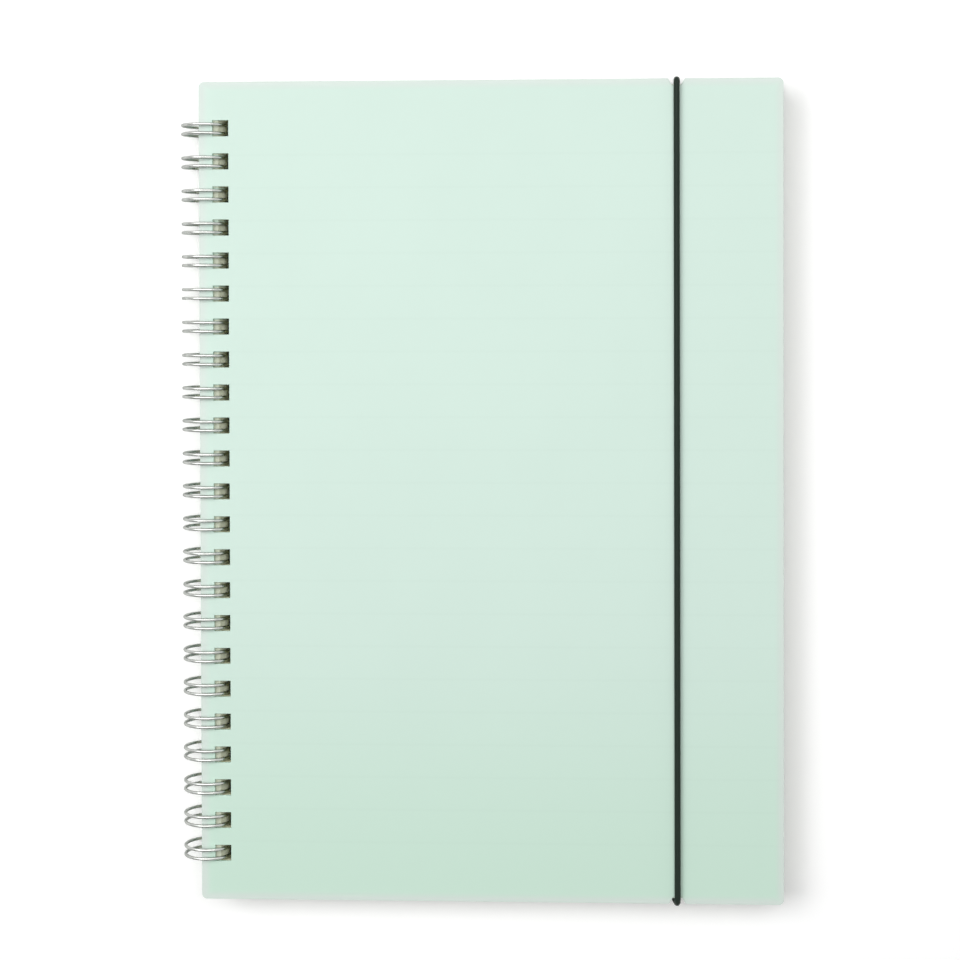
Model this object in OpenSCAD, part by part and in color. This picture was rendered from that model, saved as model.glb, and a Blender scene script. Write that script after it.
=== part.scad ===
// Twin-loop notebook, A5, lying on its back cover, millimetres.
// X runs from the spine to the fore edge, Y from the tail to the head, Z up.
// The origin is under the middle of the part, on the table that it lies on.

/* [Covers] */
// Width of both covers
cover_w = 149; // [110:0.5:190]
// Height of both covers
cover_h = 210; // [160:0.5:300]
// Thickness of the plastic cover sheet
cover_t = 0.6; // [0.4:0.05:0.7]
// Radius of the cover corners
corner_r = 1.3; // [0.5:0.1:6]

/* [Pages] */
// Thickness of the closed stack of pages
page_stack = 7.8; // [6.5:0.1:8.5]
// Covers stand past the pages by this much at head, tail and fore edge
page_inset = 1.3; // [1:0.1:2.5]
// Covers stand past the pages by this much at the spine
spine_inset = 1.5; // [1.4:0.1:1.8]

/* [Holes] */
// Side of the square holes
hole_size = 4.1; // [4:0.05:4.4]
// From the spine edge of a cover to its holes
hole_edge = 3.5; // [3.3:0.05:3.9]
// Pitch of the holes and of the wire loops, three to the inch
loop_pitch = 8.4667; // [8:0.0001:12.7]
// Least distance from the head edge to the middle of the first loop
loop_margin = 11; // [9:0.5:20]

/* [Wire] */
// Diameter of the wire
wire_d = 0.85; // [0.7:0.05:0.95]
// Middle to middle of the two wires of one loop
wire_pair = 2.25; // [2:0.05:2.35]
// The loops stand this far out over each cover
ring_proud = 1.85; // [1.75:0.05:2.2]

/* [Elastic] */
// Diameter of the round elastic
elastic_d = 1.65; // [1.3:0.05:1.65]
// From the fore edge of the cover to the middle of the elastic
elastic_x = 27; // [15:0.5:45]
// From the head and tail edges to the holes that the elastic ends pass through
anchor_y = 12; // [9:0.5:25]
// Length of the metal barbs
barb_len = 11; // [7:0.5:13]

/* [Hidden] */
// Clearances
elastic_gap = 0.2;
barb_gap = 0.3;
ring_gap = 0.25;
seam_gap = 0.15;

// Bends
elastic_bend = 1.2;
elbow_r = 1.0;
bend_draw = 0.03;
bend_let = 3;

// Levels
under_gap = max(ring_proud, elastic_d + elastic_gap);
back_z = under_gap;
page_z = back_z + cover_t;
front_z = page_z + page_stack;
top_z = front_z + cover_t;
axis_z = (back_z + top_z) / 2;

// Loops
ring_r = axis_z - back_z + ring_proud;
wire_r = ring_r - wire_d / 2;
loop_count = floor((cover_h - 2 * loop_margin) / loop_pitch) + 1;
first_y = -(loop_count - 1) * loop_pitch / 2;

// Plan
ring_in = hole_edge + hole_size - ring_gap - ring_r;
part_w = cover_w - ring_in + ring_r;
axis_x = ring_r - part_w / 2;
spine_x = axis_x - ring_in;
fore_x = spine_x + cover_w;
page_x0 = spine_x + spine_inset;
page_x1 = fore_x - page_inset;
page_h = cover_h - 2 * page_inset;
band_x = fore_x - elastic_x;
hole_x = spine_x + hole_edge;

// Seam of the wire, between the last page and the back cover
seam_z = cover_t + seam_gap + wire_d / 2 + back_z - axis_z;
root_len = norm([wire_r, elbow_r]);
root_a = asin(seam_z / root_len) - atan(elbow_r / wire_r);
tip_a = root_a + 23.2;
seam_room = seam_gap + wire_d + 0.2;
seam_flat = 7;
seam_ramp = 22;

// Elastic path
edge_y = page_h / 2 + elastic_gap + elastic_d / 2;
hole_y = cover_h / 2 - anchor_y;
band_hi = top_z + elastic_gap + elastic_d / 2;
band_lo = back_z - elastic_gap - elastic_d / 2;

// Notches in the cover edges, where the elastic passes
notch_in = elastic_d + 0.75;
notch_out = notch_in + 1.8;
notch_deep = page_inset + 0.3;

// Barbs
barb_h = 1.0;
barb_w = 1.8;
barb_fold = 3.0;

pp_mint = [0.84, 0.93, 0.89];
ivory = [0.96, 0.94, 0.87];
bright_wire = [0.78, 0.79, 0.80];
cord_black = [0.10, 0.12, 0.11];

$fn = 48;

// Square holes of the binding, seen from above
module binding_holes() {
  for (i = [0:loop_count - 1]) {
    translate([hole_x, first_y + i * loop_pitch - hole_size / 2])
      square(hole_size);
  }
}

// Cover blank with rounded corners
module rounded_sheet() {
  translate([spine_x + corner_r, -cover_h / 2])
    square([cover_w - 2 * corner_r, cover_h]);
  translate([spine_x, -cover_h / 2 + corner_r])
    square([cover_w, cover_h - 2 * corner_r]);
  for (x = [spine_x + corner_r, fore_x - corner_r]) {
    for (y = [-1, 1]) {
      translate([x, y * (cover_h / 2 - corner_r)])
        circle(r = corner_r);
    }
  }
}

// Notch in one edge of a cover, wider at its mouth
module band_notch() {
  polygon([
    [-notch_out / 2, 1],
    [-notch_out / 2, 0],
    [-notch_in / 2, -notch_deep],
    [notch_in / 2, -notch_deep],
    [notch_out / 2, 0],
    [notch_out / 2, 1]
  ]);
}

module cover_plan() {
  difference() {
    rounded_sheet();
    binding_holes();
    translate([band_x, cover_h / 2])
      band_notch();
    translate([band_x, -cover_h / 2])
      mirror([0, 1])
        band_notch();
  }
}

module front_cover() {
  color(pp_mint)
    translate([0, 0, front_z])
      linear_extrude(cover_t)
        cover_plan();
}

module back_cover() {
  color(pp_mint)
    translate([0, 0, back_z])
      linear_extrude(cover_t)
        difference() {
          cover_plan();
          for (y = [-hole_y, hole_y]) {
            translate([band_x, y])
              circle(d = elastic_d + 2 * elastic_gap);
          }
        }
}

// Side view of the stack: the last sheets ride up over the seam of the wire
module page_side() {
  polygon([
    [page_x0, page_z + seam_room],
    [page_x0 + seam_flat, page_z + seam_room],
    [page_x0 + seam_flat + seam_ramp, page_z],
    [page_x1, page_z],
    [page_x1, front_z],
    [page_x0, front_z]
  ]);
}

module page_block() {
  color(ivory)
    difference() {
      translate([0, page_h / 2, 0])
        rotate([90, 0, 0])
          linear_extrude(page_h)
            page_side();
      translate([0, 0, back_z])
        linear_extrude(top_z - back_z)
          binding_holes();
      for (y = [-hole_y, hole_y]) {
        translate([band_x, y, page_z - 1])
          linear_extrude(barb_h + barb_gap + 1)
            barb_plan(barb_gap);
      }
    }
}

// Metal barb from above: a round-ended strip with two folded ears
module barb_plan(grow) {
  square([barb_w + 2 * grow, barb_len - barb_w], center = true);
  for (y = [-1, 1]) {
    translate([0, y * (barb_len - barb_w) / 2])
      circle(d = barb_w + 2 * grow);
  }
  square([barb_w + 0.8 + 2 * grow, barb_fold + 2 * grow], center = true);
}

module barb(y) {
  color(bright_wire)
    translate([band_x, y, page_z])
      linear_extrude(barb_h)
        barb_plan(0);
}

module head_barb() {
  barb(hole_y);
}

module tail_barb() {
  barb(-hole_y);
}

// Length of bent round bar: radius of the bend, diameter, start and sweep
module bend(r, d, from, sweep) {
  rotate_extrude(angle = sweep, start = from)
    translate([r, 0])
      circle(d = d);
}

// Tight bend of the wire, drawn a hair thinner there and let in at both ends
module tight_bend(r, from, sweep) {
  bend(r, wire_d - bend_draw, from - bend_let, sweep + 2 * bend_let);
}

// Two wires of one loop, joined by the turned tip and opened out at the root
module wire_loop() {
  rotate([90, 0, 0]) {
    for (w = [-1, 1]) {
      translate([0, 0, w * wire_pair / 2])
        bend(wire_r, wire_d, tip_a, 360 + root_a - tip_a);
    }
    rotate([0, 0, tip_a])
      translate([wire_r, 0, 0])
        rotate([0, 90, 0])
          tight_bend(wire_pair / 2, 180, 180);
    rotate([0, 0, root_a])
      translate([wire_r, 0, 0])
        rotate([0, 90, 0]) {
          translate([wire_pair / 2 + elbow_r, 0, 0])
            tight_bend(elbow_r, 90, 90);
          translate([-wire_pair / 2 - elbow_r, 0, 0])
            tight_bend(elbow_r, 0, 90);
        }
  }
}

// Straight wire along the seam, from one loop to the next
module seam_wire(length) {
  rotate([90, 0, 0])
    rotate([0, 0, root_a])
      translate([wire_r, elbow_r, -wire_pair / 2 - elbow_r - length])
        cylinder(h = length, d = wire_d);
}

module twin_loop_wire() {
  between = loop_pitch - wire_pair - 2 * elbow_r;
  color(bright_wire)
    translate([axis_x, 0, axis_z]) {
      for (i = [0:loop_count - 1]) {
        translate([0, first_y + i * loop_pitch, 0])
          wire_loop();
      }
      for (i = [0:loop_count - 2]) {
        translate([0, first_y + i * loop_pitch, 0])
          seam_wire(between);
      }
      // Cut ends
      translate([0, -first_y, 0])
        seam_wire(1.6);
      translate([0, first_y - wire_pair - 2 * elbow_r - 1.6, 0])
        seam_wire(1.6);
    }
}

// Half of the elastic, from the middle of the front to its end in the back cover
module elastic_half() {
  top_run = edge_y - elastic_bend;
  low_run = edge_y - hole_y - 2 * elastic_bend;
  translate([0, 0, band_hi])
    rotate([-90, 0, 0])
      cylinder(h = top_run, d = elastic_d);
  translate([0, edge_y, band_lo + elastic_bend])
    cylinder(h = band_hi - band_lo - 2 * elastic_bend, d = elastic_d);
  translate([0, hole_y + elastic_bend, band_lo])
    rotate([-90, 0, 0])
      cylinder(h = low_run, d = elastic_d);
  translate([0, hole_y, band_lo + elastic_bend])
    cylinder(h = page_z - band_lo - elastic_bend, d = elastic_d);
  rotate([90, 0, 90]) {
    translate([edge_y - elastic_bend, band_hi - elastic_bend, 0])
      bend(elastic_bend, elastic_d, 0, 90);
    translate([edge_y - elastic_bend, band_lo + elastic_bend, 0])
      bend(elastic_bend, elastic_d, 270, 90);
    translate([hole_y + elastic_bend, band_lo + elastic_bend, 0])
      bend(elastic_bend, elastic_d, 180, 90);
  }
}

module elastic_band() {
  color(cord_black)
    translate([band_x, 0, 0]) {
      elastic_half();
      mirror([0, 1, 0])
        elastic_half();
    }
}

front_cover();
back_cover();
page_block();
twin_loop_wire();
elastic_band();
head_barb();
tail_barb();
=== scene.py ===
import math
import random

import bpy
import bmesh
from mathutils import Euler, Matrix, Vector


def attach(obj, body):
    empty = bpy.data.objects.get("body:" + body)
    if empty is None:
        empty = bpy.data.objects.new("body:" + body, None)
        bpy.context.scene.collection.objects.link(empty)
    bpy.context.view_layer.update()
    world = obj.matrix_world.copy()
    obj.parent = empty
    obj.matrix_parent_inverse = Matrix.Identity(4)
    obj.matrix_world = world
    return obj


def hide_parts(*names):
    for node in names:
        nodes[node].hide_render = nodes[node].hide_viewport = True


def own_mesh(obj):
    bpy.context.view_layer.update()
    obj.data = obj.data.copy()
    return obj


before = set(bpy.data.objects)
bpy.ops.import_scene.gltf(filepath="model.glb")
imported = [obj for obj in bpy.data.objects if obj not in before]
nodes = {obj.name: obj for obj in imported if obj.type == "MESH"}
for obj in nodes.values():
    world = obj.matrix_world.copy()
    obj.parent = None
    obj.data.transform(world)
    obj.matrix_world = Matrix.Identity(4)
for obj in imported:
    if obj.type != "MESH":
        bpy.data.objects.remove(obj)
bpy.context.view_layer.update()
mm = 0.001

# Sizes in millimetres. The notebook lies on its back cover: X to the fore edge, Y to the head, Z up
book = {
    "coverWidth": 149.0,
    "coverHeight": 210.0,
    "coverThick": 0.6,
    "pageInset": 1.3,     # covers stand past the pages by this much at head, tail and fore edge
    "spineInset": 1.5,    # and at the spine
    "stack": 7.8,
    "coverLift": 1.85,    # the loops and the elastic hold the back cover this far off the table
    "holeSize": 4.1,
    "holeEdge": 3.5,      # from the spine edge of a cover to its holes
    "loopPitch": 8.4667,  # three loops to the inch
    "loops": 23,
    "ringRadius": 6.35,
    "ringGap": 0.25,      # between the loops and the far side of the holes
    "seamRise": 1.2,      # the last sheets ride up this much over the seam of the wire
    "seamFlat": 7.0,
    "seamRamp": 22.0,
}
backZ = book["coverLift"]
pageZ = backZ + book["coverThick"]
frontZ = pageZ + book["stack"]
topZ = frontZ + book["coverThick"]
axisZ = (backZ + topZ) / 2
ringIn = book["holeEdge"] + book["holeSize"] - book["ringGap"] - book["ringRadius"]
axisX = book["ringRadius"] - (book["coverWidth"] - ringIn + book["ringRadius"]) / 2
spineX = axisX - ringIn
foreX = spineX + book["coverWidth"]
pageX0 = spineX + book["spineInset"]
pageX1 = foreX - book["pageInset"]
pageHalf = book["coverHeight"] / 2 - book["pageInset"]
holeX = spineX + book["holeEdge"]
loopY = [(i - (book["loops"] - 1) / 2) * book["loopPitch"] for i in range(book["loops"])]

# camera
camera = {
    "frame": 960.0,                   # pixels of the square picture
    "sensor": 36.0,                   # mm
    "place": (22.3, 47.6, 502.7),     # mm
    "turn": (-0.757, 2.570, -0.149),  # degrees
    "focal": 1931.5,                  # pixels
    "middle": (480.0, 330.7),         # pixel that the lens axis meets
}
camData = bpy.data.cameras.new("camera")
camData.sensor_width = camera["sensor"]
camData.lens = camera["focal"] * camera["sensor"] / camera["frame"]
camData.shift_x = 0.5 - camera["middle"][0] / camera["frame"]
camData.shift_y = camera["middle"][1] / camera["frame"] - 0.5
camData.clip_start = 0.01
cam = bpy.data.objects.new("camera", camData)
cam.location = Vector(camera["place"]) * mm
cam.rotation_euler = Euler([math.radians(a) for a in camera["turn"]])
bpy.context.scene.collection.objects.link(cam)
bpy.context.scene.camera = cam
print("camera set")


def hexToLinear(code):
    parts = [int(code[i:i + 2], 16) / 255 for i in (1, 3, 5)]
    return tuple(c / 12.92 if c <= 0.04045 else ((c + 0.055) / 1.055) ** 2.4 for c in parts) + (1.0,)


def addNode(tree, kind, settings=None, links=None):
    # settings are the node's own choices, links are its inputs: a socket to join, a hex colour or a value
    node = tree.nodes.new(kind)
    for name, value in (settings or {}).items():
        setattr(node, name, value)
    for name, value in (links or {}).items():
        socket = node.inputs[name]
        if isinstance(value, bpy.types.NodeSocket):
            tree.links.new(value, socket)
        elif isinstance(value, str):
            socket.default_value = hexToLinear(value)
        else:
            socket.default_value = value
    return node


def newMaterial(name):
    mat = bpy.data.materials.new(name)
    mat.use_nodes = True
    mat.node_tree.nodes.clear()
    return mat, mat.node_tree


def math1(tree, operation, first, second=0.0, third=0.0, clamp=False):
    return addNode(tree, "ShaderNodeMath", {"operation": operation, "use_clamp": clamp},
                   {0: first, 1: second, 2: third}).outputs[0]


def mixColour(tree, share, first, second):
    links = {0: share, 6: first, 7: second}
    return addNode(tree, "ShaderNodeMix", {"data_type": "RGBA"}, links).outputs[2]


def mixValue(tree, share, first, second):
    links = {0: share, 2: first, 3: second}
    return addNode(tree, "ShaderNodeMix", {"data_type": "FLOAT"}, links).outputs[0]


def fromMiddle(tree, value, middle):
    # how far a value lies from the middle, either way
    return math1(tree, "ABSOLUTE", math1(tree, "SUBTRACT", value, middle))


def smoothStep(tree, value, low, high, toLow=0.0, toHigh=1.0):
    return addNode(tree, "ShaderNodeMapRange", {"interpolation_type": "SMOOTHSTEP"},
                   {0: value, 1: low, 2: high, 3: toLow, 4: toHigh}).outputs[0]


def bumpOn(tree, height, distance, strength=1.0, normal=None):
    links = {"Strength": strength, "Distance": distance, "Height": height}
    if normal is not None:
        links["Normal"] = normal
    return addNode(tree, "ShaderNodeBump", {}, links).outputs[0]


def noiseAt(tree, vector, sizeMm, detail=2.0, rough=0.5):
    # sizeMm is the width of one blotch or grain
    links = {"Vector": vector, "Scale": 1.0 / (sizeMm * mm), "Detail": detail, "Roughness": rough}
    return addNode(tree, "ShaderNodeTexNoise", {"noise_dimensions": "3D"}, links).outputs[0]


# materials
coverLook = {
    "backed": "#DCF2E7",     # where pages lie behind the sheet
    "cloud": "#DBF1E6",      # in faint blotches
    "cloudMm": 26.0,
    "tail": "#D6F1E1",       # painted shade: a deeper, darker green towards the tail, fitted to the photograph
    "tailShadeFrom": -30.0,       # mm from the middle
    "showThrough": 0.04,     # how much of the ruled lines comes through
    "overhang": "#DDE9E2",   # the greyer rim past the pages
    "rimFrom": -1.3,         # mm past the page edges, where the rim starts
    "rimTo": 0.9,            # and where it is at its full tone
    "edge": "#C0E9D8",       # cut edge, where light gathers
    "alpha": 0.8,            # each face, so the sheet passes a little of what is behind
    "grainMm": 0.18,
    "grainDepth": 0.012,
    "waveMm": 42.0,
    "waveDepth": 0.9,
    "smooth": 0.39,          # roughness from here
    "rough": 0.45,           # to here over the grain
}
pageLook = {
    "paper": "#E9EADA",
    "shade": "#DEDFCA",
    "leafGapShade": "#C4C3A4",   # painted shade in the gaps between leaves at a cut edge
    "leafBand": "#F0ECCF",   # and the lighter bands between
    "holeRimShade": "#C2C7B4",    # painted shade on the first sheet beside its holes
    "holeTop": "#ECEBC6",    # punched walls near the cover, where the painted shade is lightest
    "holeDeepShade": "#DADDAE",   # and down in the stack, darker with painted shade
    "deepAbove": 0.4,        # mm over the middle of the loops: from here down the painted shade is full
    "wallFrom": -0.4,        # mm from the spine side of the holes: the strip where the walls lie
    "wallTo": 8.8,
    "holeShadeFull": 2.5,          # mm from there to where the painted shade beside the holes starts to fade
    "holeShadeEnd": 3.5,
    "rule": "#B5CCBF",
    "rulePitch": 8.39,       # mm
    "ruleFirst": -89.98,     # mm from the middle of the page
    "ruleLast": 86.3,
    "ruleWidth": 0.28,
    "sheet": 0.30,           # real sheets are 0.11 mm: drawn in threes, so that the edge shows leaves
    "alongEdge": 0.006,      # scale of the leaf pattern along the edges, so that its lines run long
    "fibreMm": 0.5,
}


def ruledLines(tree, y, widthMm):
    # 1 on a ruled line, 0 between
    start = math1(tree, "SUBTRACT", y, pageLook["ruleFirst"] * mm)
    step = math1(tree, "DIVIDE", start, pageLook["rulePitch"] * mm)
    near = fromMiddle(tree, step, math1(tree, "ROUND", step))
    half = widthMm / pageLook["rulePitch"] / 2
    line = smoothStep(tree, near, half * 0.6, half * 1.6, 1.0, 0.0)
    above = math1(tree, "GREATER_THAN", y, (pageLook["ruleFirst"] - 1) * mm)
    below = math1(tree, "LESS_THAN", y, (pageLook["ruleLast"] + 1) * mm)
    return math1(tree, "MULTIPLY", line, math1(tree, "MULTIPLY", above, below))


def frostedPolypropylene():
    # extruded polypropylene sheet with a fine matte emboss: milky, with soft highlights and painted shade
    # towards the tail, and the page's ruling just comes through where the sheet touches it
    mat, t = newMaterial("frosted polypropylene sheet")
    co = addNode(t, "ShaderNodeTexCoord").outputs["Object"]
    xyz = addNode(t, "ShaderNodeSeparateXYZ", {}, {0: co})
    nrm = addNode(t, "ShaderNodeSeparateXYZ", {}, {0: addNode(t, "ShaderNodeTexCoord").outputs["Normal"]})
    x, y = xyz.outputs[0], xyz.outputs[1]
    # how far a point lies past the page edges
    dx = math1(t, "SUBTRACT", fromMiddle(t, x, (pageX0 + pageX1) / 2 * mm), (pageX1 - pageX0) / 2 * mm)
    dy = math1(t, "SUBTRACT", math1(t, "ABSOLUTE", y), pageHalf * mm)
    past = smoothStep(t, math1(t, "MAXIMUM", dx, dy), coverLook["rimFrom"] * mm, coverLook["rimTo"] * mm)
    blotch = smoothStep(t, noiseAt(t, co, coverLook["cloudMm"], 2.0, 0.55), 0.3, 0.7)
    body = mixColour(t, blotch, coverLook["cloud"], coverLook["backed"])
    # painted shade: the sheet turns a deeper, darker green towards the tail
    tailShadeShare = smoothStep(t, y, -book["coverHeight"] / 2 * mm, coverLook["tailShadeFrom"] * mm, 1.0, 0.0)
    body = mixColour(t, tailShadeShare, body, coverLook["tail"])
    ghost = ruledLines(t, y, 2 * pageLook["ruleWidth"])  # wider than on the page, as the sheet blurs them
    body = mixColour(t, math1(t, "MULTIPLY", ghost, coverLook["showThrough"]), body, pageLook["rule"])
    body = mixColour(t, past, body, coverLook["overhang"])
    flat = smoothStep(t, math1(t, "ABSOLUTE", nrm.outputs[2]), 0.3, 0.8)
    colour = mixColour(t, flat, coverLook["edge"], body)
    grain = noiseAt(t, co, coverLook["grainMm"], 2.0, 0.6)
    wave = noiseAt(t, co, coverLook["waveMm"], 0.0, 0.4)
    bump = bumpOn(t, wave, coverLook["waveDepth"] * mm, 0.1)
    bump = bumpOn(t, grain, coverLook["grainDepth"] * mm, 0.5, bump)
    rough = smoothStep(t, grain, 0.2, 0.8, coverLook["smooth"], coverLook["rough"])
    shader = addNode(t, "ShaderNodeBsdfPrincipled", {}, {
        "Base Color": colour, "Roughness": rough, "IOR": 1.49, "Normal": bump, "Alpha": coverLook["alpha"]})
    addNode(t, "ShaderNodeOutputMaterial", {}, {"Surface": shader.outputs[0]})
    return mat


def uncoatedPaper():
    # uncoated ivory writing paper, trimmed and punched: warm and matte, with the leaves as fine lines of
    # painted shade along the cut edges, and painted shade in and beside the punched holes
    mat, t = newMaterial("uncoated ivory paper")
    co = addNode(t, "ShaderNodeTexCoord").outputs["Object"]
    xyz = addNode(t, "ShaderNodeSeparateXYZ", {}, {0: co})
    nrm = addNode(t, "ShaderNodeSeparateXYZ", {}, {0: addNode(t, "ShaderNodeTexCoord").outputs["Normal"]})
    x, y, z = xyz.outputs[0], xyz.outputs[1], xyz.outputs[2]
    fromCentre = math1(t, "ABSOLUTE", y)
    flat = smoothStep(t, math1(t, "ABSOLUTE", nrm.outputs[2]), 0.4, 0.9)
    edgeShare = math1(t, "SUBTRACT", 1.0, flat)
    fibre = noiseAt(t, co, pageLook["fibreMm"], 3.0, 0.6)
    mottle = smoothStep(t, fibre, 0.3, 0.7, 0.0, 0.35)
    colour = mixColour(t, mottle, pageLook["paper"], pageLook["shade"])
    # leaves along the cut edges, with painted shade in the gaps between them
    stretch = (pageLook["alongEdge"], pageLook["alongEdge"], 1.0)
    squeeze = addNode(t, "ShaderNodeMapping", {}, {0: co, 3: stretch}).outputs[0]
    leaves = noiseAt(t, squeeze, pageLook["sheet"], 2.0, 0.7)
    bands = noiseAt(t, squeeze, pageLook["sheet"] * 3, 1.0, 0.5)
    gapShade = math1(t, "MULTIPLY", smoothStep(t, leaves, 0.35, 0.62, 1.0, 0.0), edgeShare)
    colour = mixColour(t, math1(t, "MULTIPLY", gapShade, 0.6), colour, pageLook["leafGapShade"])
    band = math1(t, "MULTIPLY", smoothStep(t, bands, 0.4, 0.6), math1(t, "MULTIPLY", edgeShare, 0.25))
    colour = mixColour(t, band, colour, pageLook["leafBand"])
    # painted shade: the punched walls darken down the stack, and lighter and darker leaves alternate in
    # them
    wallMiddle = holeX + (pageLook["wallFrom"] + pageLook["wallTo"]) / 2
    wallHalf = (pageLook["wallTo"] - pageLook["wallFrom"]) / 2
    inStrip = math1(t, "LESS_THAN", fromMiddle(t, x, wallMiddle * mm), wallHalf * mm)
    inPage = math1(t, "LESS_THAN", fromCentre, (pageHalf - 1) * mm)
    punched = math1(t, "MULTIPLY", inStrip, inPage)
    deep = smoothStep(t, z, (axisZ + pageLook["deepAbove"]) * mm, (frontZ + 0.3) * mm, 1.0, 0.0)
    deep = math1(t, "ADD", deep, math1(t, "MULTIPLY", math1(t, "SUBTRACT", bands, 0.5), 1.6), clamp=True)
    wallShade = mixColour(t, deep, pageLook["holeTop"], pageLook["holeDeepShade"])
    colour = mixColour(t, math1(t, "MULTIPLY", punched, edgeShare), colour, wallShade)
    # painted shade on the rim of the first sheet beside each hole
    holeStep = math1(t, "DIVIDE", math1(t, "SUBTRACT", y, loopY[0] * mm), book["loopPitch"] * mm)
    fromHole = fromMiddle(t, holeStep, math1(t, "ROUND", holeStep))
    holeHalf = book["holeSize"] / 2 / book["loopPitch"]
    holeShadeY = smoothStep(t, fromHole, 0.9 * holeHalf, 1.1 * holeHalf, 1.0, 0.0)
    holeShadeStart = smoothStep(t, x, (holeX - 0.1) * mm, (holeX + 0.1) * mm)
    fadeFrom, fadeTo = holeX + pageLook["holeShadeFull"], holeX + pageLook["holeShadeEnd"]
    holeShadeX = math1(t, "MULTIPLY", holeShadeStart, smoothStep(t, x, fadeFrom * mm, fadeTo * mm, 1.0, 0.0))
    besideHole = math1(t, "LESS_THAN", fromCentre, (loopY[-1] + book["loopPitch"] / 2) * mm)
    rim = math1(t, "MULTIPLY", math1(t, "MULTIPLY", holeShadeX, holeShadeY), math1(t, "MULTIPLY", flat, 0.9))
    colour = mixColour(t, math1(t, "MULTIPLY", rim, besideHole), colour, pageLook["holeRimShade"])
    line = math1(t, "MULTIPLY", ruledLines(t, y, pageLook["ruleWidth"]), flat)
    colour = mixColour(t, line, colour, pageLook["rule"])
    height = math1(t, "ADD", math1(t, "MULTIPLY", leaves, edgeShare), math1(t, "MULTIPLY", fibre, 0.15))
    bump = bumpOn(t, height, 0.12 * mm, 0.7)
    shader = addNode(t, "ShaderNodeBsdfPrincipled", {}, {
        "Base Color": colour, "Roughness": 0.88, "IOR": 1.5, "Normal": bump, "Specular IOR Level": 0.3})
    addNode(t, "ShaderNodeOutputMaterial", {}, {"Surface": shader.outputs[0]})
    return mat


wire = {
    "thick": 0.8,
    "pair": 2.25,     # middle to middle of the two wires of one loop
    "elbow": 1.0,     # radius of the bends from the loops into the seam
    "seamGap": 0.15,  # between the seam and the back cover
    "inside": 0.005,  # a hair inside the CAD wire
    "tipTurn": 23.2,  # degrees from the seam to the closed tips
    "cutEnd": 1.6,    # seam wire past the first and the last loop
    "lean": 0.15,     # each loop runs this far towards the tail on its way to the tip
    "sides": 16,
    "arcSteps": 56,
    "elbowSteps": 6,
}
wireLook = {
    "bright": "#C6C8C4",
    "dull": "#B3B6B2",
    "dullMm": 2.2,
    "rim": (0.55, 0.56, 0.55),  # tint at grazing angles: it keeps the sides of the wire grey
    "lineMm": 0.09,
    "drawnOut": 0.03,           # scale of the die lines along the wire
}


def brightDrawnWire():
    # bright drawn steel wire: mirror-like, with faint die lines along it and duller patches
    mat, t = newMaterial("bright drawn steel wire")
    uv = addNode(t, "ShaderNodeTexCoord").outputs["UV"]
    # the UV map holds the share around and the millimetres along, and the lines are drawn out along it
    unroll = (math.pi * wire["thick"] * mm, wireLook["drawnOut"] * mm, 1.0)
    stretch = addNode(t, "ShaderNodeMapping", {}, {0: uv, 3: unroll}).outputs[0]
    dull = noiseAt(t, addNode(t, "ShaderNodeTexCoord").outputs["Object"], wireLook["dullMm"], 2.0, 0.6)
    line = noiseAt(t, stretch, wireLook["lineMm"], 2.0, 0.6)
    colour = mixColour(t, smoothStep(t, dull, 0.4, 0.7), wireLook["bright"], wireLook["dull"])
    rough = smoothStep(t, dull, 0.25, 0.75, 0.24, 0.32)
    bump = bumpOn(t, line, 0.004 * mm, 0.12)
    shader = addNode(t, "ShaderNodeBsdfPrincipled", {}, {
        "Base Color": colour, "Metallic": 1.0, "Roughness": rough, "Normal": bump,
        "Specular Tint": wireLook["rim"] + (1.0,)})
    addNode(t, "ShaderNodeOutputMaterial", {}, {"Surface": shader.outputs[0]})
    return mat


barbLook = {"plate": "#BFC1C0", "worn": "#CFCFCB", "lineMm": 0.12}


def nickelBarb():
    # stamped nickel-plated steel strip: satin, with rolling lines along it
    mat, t = newMaterial("stamped nickel-plated steel")
    co = addNode(t, "ShaderNodeTexCoord").outputs["Object"]
    stretch = addNode(t, "ShaderNodeMapping", {}, {0: co, 3: (1.0, 0.06, 1.0)}).outputs[0]
    lines = noiseAt(t, stretch, barbLook["lineMm"], 2.0, 0.6)
    rough = smoothStep(t, lines, 0.3, 0.7, 0.28, 0.42)
    bump = bumpOn(t, lines, 0.01 * mm, 0.4)
    colour = mixColour(t, smoothStep(t, lines, 0.3, 0.7), barbLook["plate"], barbLook["worn"])
    shader = addNode(t, "ShaderNodeBsdfPrincipled", {}, {
        "Base Color": colour, "Metallic": 1.0, "Roughness": rough, "Normal": bump})
    addNode(t, "ShaderNodeOutputMaterial", {}, {"Surface": shader.outputs[0]})
    return mat


elasticLook = {
    "strand": "#182B20",
    "groove": "#0D120E",
    "fuzz": "#2F3A31",
    "fuzzMm": 0.15,
    "carriers": 12,  # a real sleeve has 16 or 24: drawn coarser, so that its strands still show
    "lay": 4.2,      # mm along the cord for one turn of a strand
}


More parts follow.
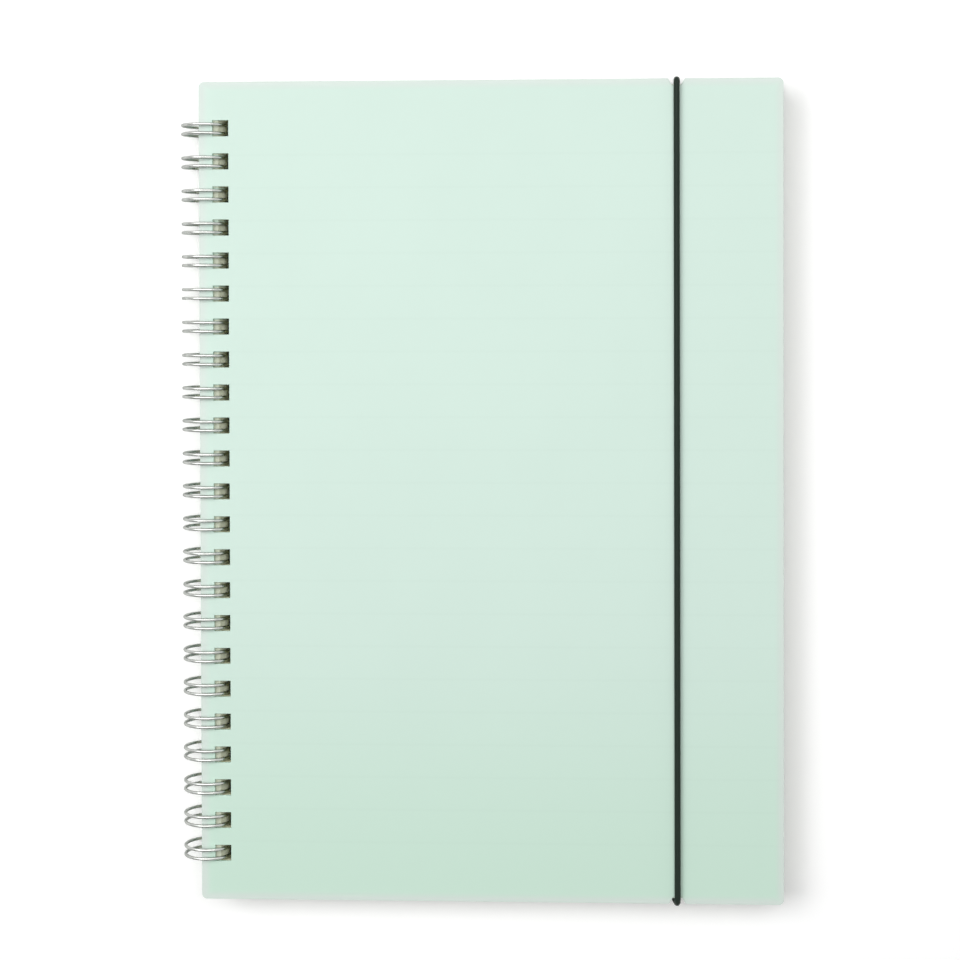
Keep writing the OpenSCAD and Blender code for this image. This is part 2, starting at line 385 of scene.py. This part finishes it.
def braidedElastic():
    # rubber core in a braided polyester sleeve: near black and dull, each strand a touch lighter than
    # the gap beside it
    mat, t = newMaterial("braided elastic cord")
    uv = addNode(t, "ShaderNodeSeparateXYZ", {}, {0: addNode(t, "ShaderNodeTexCoord").outputs["UV"]})
    around = math1(t, "MULTIPLY", uv.outputs[0], math.pi * elasticLook["carriers"])
    along = math1(t, "MULTIPLY", uv.outputs[1], math.pi * elasticLook["carriers"] / elasticLook["lay"])
    first = math1(t, "COSINE", math1(t, "ADD", around, along))
    second = math1(t, "COSINE", math1(t, "SUBTRACT", around, along))
    weave = math1(t, "SINE", math1(t, "MULTIPLY", along, 2.0))  # which set lies on top
    strand = mixValue(t, smoothStep(t, weave, -0.3, 0.3), first, second)
    strand = smoothStep(t, strand, -1.0, 0.6)
    fuzz = noiseAt(t, addNode(t, "ShaderNodeTexCoord").outputs["Object"], elasticLook["fuzzMm"], 3.0, 0.7)
    colour = mixColour(t, strand, elasticLook["groove"], elasticLook["strand"])
    colour = mixColour(t, smoothStep(t, fuzz, 0.5, 0.75, 0.0, 0.4), colour, elasticLook["fuzz"])
    height = math1(t, "ADD", strand, math1(t, "MULTIPLY", fuzz, 0.5))
    bump = bumpOn(t, height, 0.05 * mm, 0.8)
    shader = addNode(t, "ShaderNodeBsdfPrincipled", {}, {
        "Base Color": colour, "Roughness": 0.42, "Normal": bump, "Specular IOR Level": 0.19,
        "Sheen Weight": 0.04, "Sheen Roughness": 0.4})
    addNode(t, "ShaderNodeOutputMaterial", {}, {"Surface": shader.outputs[0]})
    return mat


sheetMat = frostedPolypropylene()
paperMat = uncoatedPaper()
wireMat = brightDrawnWire()
barbMat = nickelBarb()
elasticMat = braidedElastic()
print("materials made")


def newPiece(name, mesh, mat, body, slotName, *replaced):
    obj = bpy.data.objects.new(name, mesh)
    bpy.context.scene.collection.objects.link(obj)
    obj.data.materials.clear()
    obj.data.materials.append(mat)
    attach(obj, body)
    if replaced:
        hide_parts(*replaced)
    return obj


sheet = {
    "ease": 0.1,         # width of the eased cut edges
    "sharpAngle": 60.0,  # degrees between two faces that meet at a cut edge
    "level": 0.01,       # a cut edge rises less than this from end to end
}


def easedSheet(nodeName):
    # a copy of the CAD sheet with its cut edges eased
    bm = bmesh.new()
    bm.from_mesh(nodes[nodeName].data)
    bmesh.ops.remove_doubles(bm, verts=bm.verts, dist=0.001 * mm)
    bmesh.ops.dissolve_limit(bm, angle_limit=math.radians(1.0), verts=bm.verts, edges=bm.edges)
    sharpAngle = math.radians(sheet["sharpAngle"])
    cut = [e for e in bm.edges if len(e.link_faces) == 2 and e.calc_face_angle(0) > sharpAngle
           and abs(e.verts[0].co.z - e.verts[1].co.z) < sheet["level"] * mm]
    bmesh.ops.bevel(bm, geom=cut, offset=sheet["ease"] * mm, segments=2, profile=0.6, affect="EDGES",
                    clamp_overlap=True)
    mesh = bpy.data.meshes.new(nodeName + "_sheet")
    bm.to_mesh(mesh)
    bm.free()
    return mesh


newPiece("front_cover_sheet", easedSheet("front_cover"), sheetMat, "front", "cover_pp", "front_cover")
newPiece("back_cover_sheet", easedSheet("back_cover"), sheetMat, "back", "cover_pp", "back_cover")
print("covers made")


# pages
leaf = {
    "count": 26,
    "slip": 0.09,        # edges lie up to this far back from the trimmed face
    "holeSlip": 0.1,     # and holes this far off the ring
    "gap": 0.035,        # between two leaves
    "faceGap": 0.03,     # between the stack and the covers
    "ringGap": 0.15,     # from the inside of the wire to the edge of the holes that hang on it
    "spineShare": 0.35,  # the spine edges follow the ring by this share
}


def pageUnder(x):
    # underside of the stack: the last sheets ride up over the seam of the wire
    ramp = (pageX0 + book["seamFlat"] + book["seamRamp"] - x) / book["seamRamp"]
    return pageZ + book["seamRise"] * min(1.0, max(0.0, ramp))


def makePages():
    rng = random.Random(7)
    rampX = pageX0 + book["seamFlat"]
    rampEnd = rampX + book["seamRamp"]
    xs = [pageX0, holeX, holeX + book["holeSize"]]
    xs += [rampX + 3, (rampX + rampEnd) / 2, rampEnd, foreX - 40, pageX1]
    ys = [-pageHalf]
    for y in loopY:
        ys += [y - book["holeSize"] / 2, y + book["holeSize"] / 2]
    ys.append(pageHalf)
    bm = bmesh.new()
    for k in range(leaf["count"]):
        slip = [rng.uniform(0, leaf["slip"]) for _ in range(4)]
        lift = pageUnder(holeX) + (frontZ - pageUnder(holeX)) * (k + 0.5) / leaf["count"] - axisZ
        reach = book["ringRadius"] - wire["thick"] - leaf["ringGap"]
        inner = math.sqrt(reach ** 2 - lift ** 2) + axisX - holeX - rng.uniform(0, leaf["holeSlip"])

        def place(i, j, top):
            x, y = xs[i], ys[j]
            if i == 0:
                x += slip[0] + inner * leaf["spineShare"]
            elif i == len(xs) - 1:
                x -= slip[1]
            elif i in (1, 2):
                x += inner
            if j == 0:
                y += slip[2]
            elif j == len(ys) - 1:
                y -= slip[3]
            low = pageUnder(xs[i]) + leaf["faceGap"]
            share = (k + top) / leaf["count"]
            z = low + (frontZ - leaf["faceGap"] - low) * share - top * leaf["gap"]
            return Vector((x, y, z)) * mm

        grid = {}
        for top in (0, 1):
            for i in range(len(xs)):
                for j in range(len(ys)):
                    grid[i, j, top] = bm.verts.new(place(i, j, top))
        # every second cell of the second column is a hole
        cells = {(i, j) for i in range(len(xs) - 1) for j in range(len(ys) - 1)
                 if not (i == 1 and j % 2 == 1)}
        for i, j in cells:
            a, b, c, d = (i, j), (i + 1, j), (i + 1, j + 1), (i, j + 1)
            bm.faces.new([grid[p + (1,)] for p in (a, b, c, d)])
            bm.faces.new([grid[p + (0,)] for p in (d, c, b, a)])
            sides = (a, b, (i, j - 1)), (b, c, (i + 1, j)), (c, d, (i, j + 1)), (d, a, (i - 1, j))
            for p, q, other in sides:
                if other not in cells:
                    bm.faces.new([grid[p + (0,)], grid[q + (0,)], grid[q + (1,)], grid[p + (1,)]])
    mesh = bpy.data.meshes.new("page_leaves")
    bm.to_mesh(mesh)
    bm.free()
    return mesh


newPiece("page_leaves", makePages(), paperMat, "pages", "paper", "page_block")
print("pages made")


# swept bars
def sweep(path, radius, sides, relief=None):
    # tube along a list of points in mm; its UV map holds the share around and the millimetres along,
    # and relief gives from these two how far a point lies under the full radius
    bm = bmesh.new()
    uvMap = bm.loops.layers.uv.new("along")
    rings = []
    lengths = []
    side = None
    length = 0.0
    for n, point in enumerate(path):
        before = path[n - 1] if n else path[0]
        after = path[n + 1] if n + 1 < len(path) else path[-1]
        along = (after - before).normalized()
        if side is None:
            side = along.orthogonal().normalized()
        side = (side - along * side.dot(along)).normalized()
        up = along.cross(side)
        if n:
            length += (point - before).length
        lengths.append(length)
        ring = []
        for k in range(sides):
            a = 2 * math.pi * k / sides
            reach = radius - (relief(k / sides, length) if relief else 0)
            ring.append(bm.verts.new((point + (side * math.cos(a) + up * math.sin(a)) * reach) * mm))
        rings.append(ring)
    for n in range(len(rings) - 1):
        for k in range(sides):
            after = (k + 1) % sides
            face = bm.faces.new([rings[n][k], rings[n][after], rings[n + 1][after], rings[n + 1][k]])
            face.smooth = True
            spots = ((k, n), (k + 1, n), (k + 1, n + 1), (k, n + 1))
            for loop, (u, v) in zip(face.loops, spots):
                loop[uvMap].uv = (u / sides, lengths[v])
    bm.faces.new(list(reversed(rings[0])))
    bm.faces.new(rings[-1])
    mesh = bpy.data.meshes.new("bar")
    bm.to_mesh(mesh)
    bm.free()
    return mesh


def arcPoints(centre, first, second, start, end, count):
    # points on the circle centre + first cos a + second sin a, without the first one
    out = []
    for n in range(1, count + 1):
        a = math.radians(start + (end - start) * n / count)
        out.append(centre + first * math.cos(a) + second * math.sin(a))
    return out


wireR = book["ringRadius"] - wire["thick"] / 2 - wire["inside"]
seamZ = book["coverThick"] + wire["seamGap"] + wire["thick"] / 2 + backZ - axisZ
seamA = math.asin(seamZ / math.hypot(wireR, wire["elbow"]))
rootA = math.degrees(seamA) - math.degrees(math.atan(wire["elbow"] / wireR))
tipA = rootA + wire["tipTurn"]


def ringPoint(angle, y):
    a = math.radians(angle)
    return Vector((axisX + wireR * math.cos(a), y, axisZ + wireR * math.sin(a)))


def wirePath():
    half = wire["pair"] / 2
    elbow = wire["elbow"]
    along = Vector((0, 1, 0))
    a = math.radians(rootA)
    rootUp = Vector((-math.sin(a), 0, math.cos(a)))
    b = math.radians(tipA)
    tipUp = Vector((-math.sin(b), 0, math.cos(b)))
    steps = wire["arcSteps"]
    bendSteps = wire["elbowSteps"]
    lean = wire["lean"]
    turn = rootA + 360 - tipA
    path = []
    for n, y in enumerate(loopY):
        root1, root2 = ringPoint(rootA, y - half), ringPoint(rootA, y + half)
        if n == 0:
            path.append(root1 + rootUp * elbow - along * (elbow + wire["cutEnd"]))
        start = root1 - along * elbow
        path.append(start + rootUp * elbow)
        path += arcPoints(start, rootUp * elbow, along * elbow, 0, 90, bendSteps)
        for k in range(1, steps + 1):
            path.append(ringPoint(rootA - turn * k / steps, y - half - lean * k / steps))
        path += arcPoints(ringPoint(tipA, y - lean), -along * half, -tipUp * half, 0, 180, 2 * bendSteps)
        for k in range(1, steps + 1):
            path.append(ringPoint(tipA + turn * k / steps, y + half - lean * (1 - k / steps)))
        path += arcPoints(root2 + along * elbow, -along * elbow, rootUp * elbow, 0, 90, bendSteps)
        if n == len(loopY) - 1:
            path.append(root2 + rootUp * elbow + along * (elbow + wire["cutEnd"]))
    return path


wireMesh = sweep(wirePath(), wire["thick"] / 2, wire["sides"])
newPiece("loop_wire", wireMesh, wireMat, "pages", "wire", "twin_loop_wire")
print("wire made")

elastic = {
    "thick": 1.6,
    "gap": 0.06,        # over and under the covers
    "edgeGap": 0.25,    # between the page edges and the legs
    "bend": 1.2,
    "bendSteps": 8,
    "fromFore": 27.0,   # from the fore edge of the cover
    "anchor": 12.0,     # from the head and tail edges to its holes in the back cover
    "relief": 0.07,     # depth of the grooves between strands
    "headLean": 0.55,   # how far the leg at the head leans sideways on its way round the edge
    "tailLean": -0.75,  # and the leg at the tail
    "sides": 32,
    "step": 0.131,      # between two rings of the mesh, fine enough for the braid
}
bandX = foreX - elastic["fromFore"]


def braidRelief(share, along):
    # the same braid as the material draws: 0 on a strand, full depth in a groove
    around = share * math.pi * elasticLook["carriers"]
    along = along * math.pi * elasticLook["carriers"] / elasticLook["lay"]
    top = min(1.0, max(0.0, math.sin(2 * along) / 0.6 + 0.5))
    strand = math.cos(around + along) * (1 - top) + math.cos(around - along) * top
    return elastic["relief"] * (1 - min(1.0, (strand + 1) / 1.6))


def elasticPath():
    edgeY = pageHalf + elastic["edgeGap"] + elastic["thick"] / 2
    anchorY = book["coverHeight"] / 2 - elastic["anchor"]
    high = topZ + elastic["gap"] + elastic["thick"] / 2
    low = backZ - elastic["gap"] - elastic["thick"] / 2
    corners = [(anchorY, pageZ), (anchorY, low), (edgeY, low), (edgeY, high),
               (-edgeY, high), (-edgeY, low), (-anchorY, low), (-anchorY, pageZ)]
    pts = [Vector((bandX, y, z)) for y, z in corners]
    path = [pts[0]]

    def straight(end):
        start = path[-1]
        count = max(1, round((end - start).length / elastic["step"]))
        path.extend(start.lerp(end, n / count) for n in range(1, count + 1))

    for n in range(1, len(pts) - 1):
        into = (pts[n] - pts[n - 1]).normalized()
        out = (pts[n + 1] - pts[n]).normalized()
        bend = min(elastic["bend"], (pts[n] - pts[n - 1]).length * 0.9)
        begin = pts[n] - into * bend
        straight(begin)
        path += arcPoints(begin + out * bend, -out * bend, into * bend, 0, 90, elastic["bendSteps"])
    straight(pts[-1])
    for p in path:
        lean = elastic["headLean"] if p.y > 0 else elastic["tailLean"]
        depth = min(1.0, max(0.0, (high - p.z) / (high - low)))
        back = min(1.0, max(0.0, (edgeY - abs(p.y)) / (edgeY - anchorY)))
        p.x += lean * math.sin(depth * math.pi / 2) * (1 - back)
    return path


cordMesh = sweep(elasticPath(), elastic["thick"] / 2, elastic["sides"], braidRelief)
band = newPiece("elastic_cord", cordMesh, elasticMat, "back", "elastic", "elastic_band")
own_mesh(band)
print("elastic made")

for name in ("head_barb", "tail_barb"):
    nodes[name].data.materials.clear()
    nodes[name].data.materials.append(barbMat)

# floor and light
studio = {
    "floor": "#FBFBFB",
    "tableReach": 3.0,   # metres
    "glow": 0.13,        # white of its own that the table shows, so that the shadow stays light
    "farGlow": 0.8,      # and out where the lamps don't reach
    "glowFrom": 0.19,    # metres from the middle
    "glowTo": 1.2,
    "keyPlace": (-0.03, 0.13, 0.60),  # metres: over the head end
    "keySize": (0.9, 0.44),
    "keyPower": 2.86,                 # watts
    "sidePlace": (-1.3, 0.55, 1.6),   # from the spine side, so that the shadow falls past the fore edge
    "sideSize": (1.5, 1.1),
    "sidePower": 17.3,
    "skyX": 0.35,        # the room's light changes along this slope of a ray's direction
    "skyY": 0.8,
    "skyFrom": -0.7,
    "skyTo": 0.8,
    "skyHead": 0.3,      # light from the room towards the head and the right
    "skyTail": 0.2,      # and towards the tail
    "shownTail": 0.3,    # the room as reflections show it there: it draws the dark side of each loop
    "shownFrom": -0.75,
    "shownTo": -0.1,
}


def shinyRay(tree, ray):
    # 1 where a ray comes from a reflection or through the sheet
    glossy, through = ray.outputs["Is Glossy Ray"], ray.outputs["Is Transmission Ray"]
    return math1(tree, "ADD", glossy, through, clamp=True)


def whiteTable():
    # matte white paper sweep: even and without gloss, so that only the shadow shows on it
    mat, t = newMaterial("matte white table")
    co = addNode(t, "ShaderNodeTexCoord").outputs["Object"]
    ray = addNode(t, "ShaderNodeLightPath")
    seen = math1(t, "ADD", ray.outputs["Is Camera Ray"], shinyRay(t, ray), clamp=True)
    base = addNode(t, "ShaderNodeBsdfDiffuse", {}, {"Color": studio["floor"]})
    out = addNode(t, "ShaderNodeVectorMath", {"operation": "LENGTH"}, {0: co}).outputs[1]
    white = addNode(t, "ShaderNodeMapRange", {}, {
        0: out, 1: studio["glowFrom"], 2: studio["glowTo"],
        3: studio["glow"], 4: studio["farGlow"]}).outputs[0]
    glow = addNode(t, "ShaderNodeEmission", {}, {"Strength": math1(t, "MULTIPLY", seen, white)})
    both = addNode(t, "ShaderNodeAddShader", {}, {0: base.outputs[0], 1: glow.outputs[0]})
    addNode(t, "ShaderNodeOutputMaterial", {}, {"Surface": both.outputs[0]})
    return mat


floorMesh = bpy.data.meshes.new("floor")
corners = [(-1, -1), (1, -1), (1, 1), (-1, 1)]
floorMesh.from_pydata([(x * studio["tableReach"], y * studio["tableReach"], 0) for x, y in corners], [],
                      [(0, 1, 2, 3)])
floor = bpy.data.objects.new("floor", floorMesh)
bpy.context.scene.collection.objects.link(floor)
floorMesh.materials.append(whiteTable())

world = bpy.data.worlds.new("studio")
bpy.context.scene.world = world
world.use_nodes = True
wt = world.node_tree
wt.nodes.clear()
aim = addNode(wt, "ShaderNodeTexCoord").outputs["Generated"]
direction = addNode(wt, "ShaderNodeSeparateXYZ", {}, {0: aim})
acrossSlope = math1(wt, "MULTIPLY", direction.outputs[0], studio["skyX"])
slope = math1(wt, "MULTIPLY_ADD", direction.outputs[1], studio["skyY"], acrossSlope)
dome = smoothStep(wt, slope, studio["skyFrom"], studio["skyTo"], studio["skyTail"], studio["skyHead"])
shown = smoothStep(wt, slope, studio["shownFrom"], studio["shownTo"], studio["shownTail"], 1.0)
worldRay = addNode(wt, "ShaderNodeLightPath")
strength = mixValue(wt, shinyRay(wt, worldRay), dome, shown)
strength = mixValue(wt, worldRay.outputs["Is Camera Ray"], strength, 1.0)  # a white backdrop
sky = addNode(wt, "ShaderNodeBackground", {}, {"Color": (1, 1, 1, 1), "Strength": strength})
addNode(wt, "ShaderNodeOutputWorld", {}, {"Surface": sky.outputs[0]})


def areaLight(name, place, size, power):
    data = bpy.data.lights.new(name, "AREA")
    data.shape = "RECTANGLE"
    data.size, data.size_y = size
    data.energy = power
    light = bpy.data.objects.new(name, data)
    light.location = place
    light.rotation_euler = (Vector((0, 0, 0)) - Vector(place)).to_track_quat("-Z", "Y").to_euler()
    bpy.context.scene.collection.objects.link(light)


areaLight("strip softbox", studio["keyPlace"], studio["keySize"], studio["keyPower"])
areaLight("side softbox", studio["sidePlace"], studio["sideSize"], studio["sidePower"])

bpy.context.scene.view_settings.view_transform = "Standard"
print("studio made")
